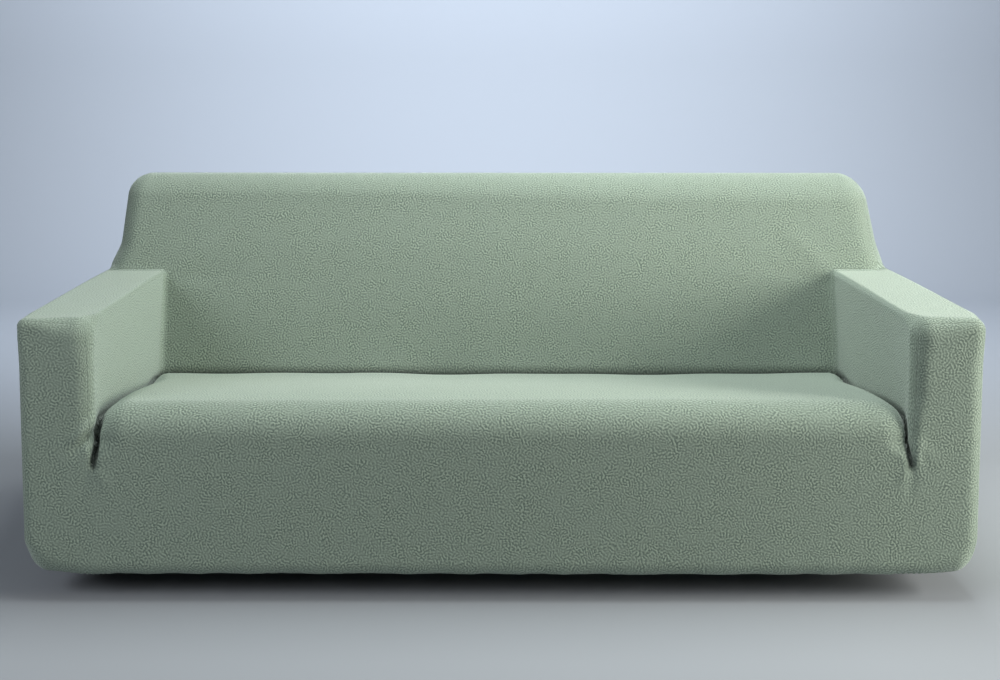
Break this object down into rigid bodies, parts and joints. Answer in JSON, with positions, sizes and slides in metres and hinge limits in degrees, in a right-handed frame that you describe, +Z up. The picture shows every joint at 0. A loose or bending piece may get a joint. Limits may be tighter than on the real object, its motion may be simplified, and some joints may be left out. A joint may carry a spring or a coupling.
{
  "type": "sofa slipcover",
  "caption": "Fitted stretch-knit slipcover for a three-seat sofa with square arms, as worn: a hollow sewn cloth shell with a rolled back top and an elastic hem, open underneath.",
  "frame": {"origin": "the middle of the cover's footprint, in the plane of the hem's lowest edge", "axes": "+Z up; +X along the width, so the arm at +X is on the right of someone facing the front; the front faces -Y"},
  "size_m": [2.0706, 0.8831, 0.8091],
  "materials": {
    "stretch_knit": "matt sage green stretch jacquard knit with a fine puckered surface"
  },
  "bodies": {
    "root": {"front_and_seat": "stretch_knit", "arm_wrap_left": "stretch_knit", "arm_wrap_right": "stretch_knit", "back_inside": "stretch_knit", "back_gusset_left": "stretch_knit", "back_gusset_right": "stretch_knit", "back_outside": "stretch_knit"}
  },
  "joints": []
}
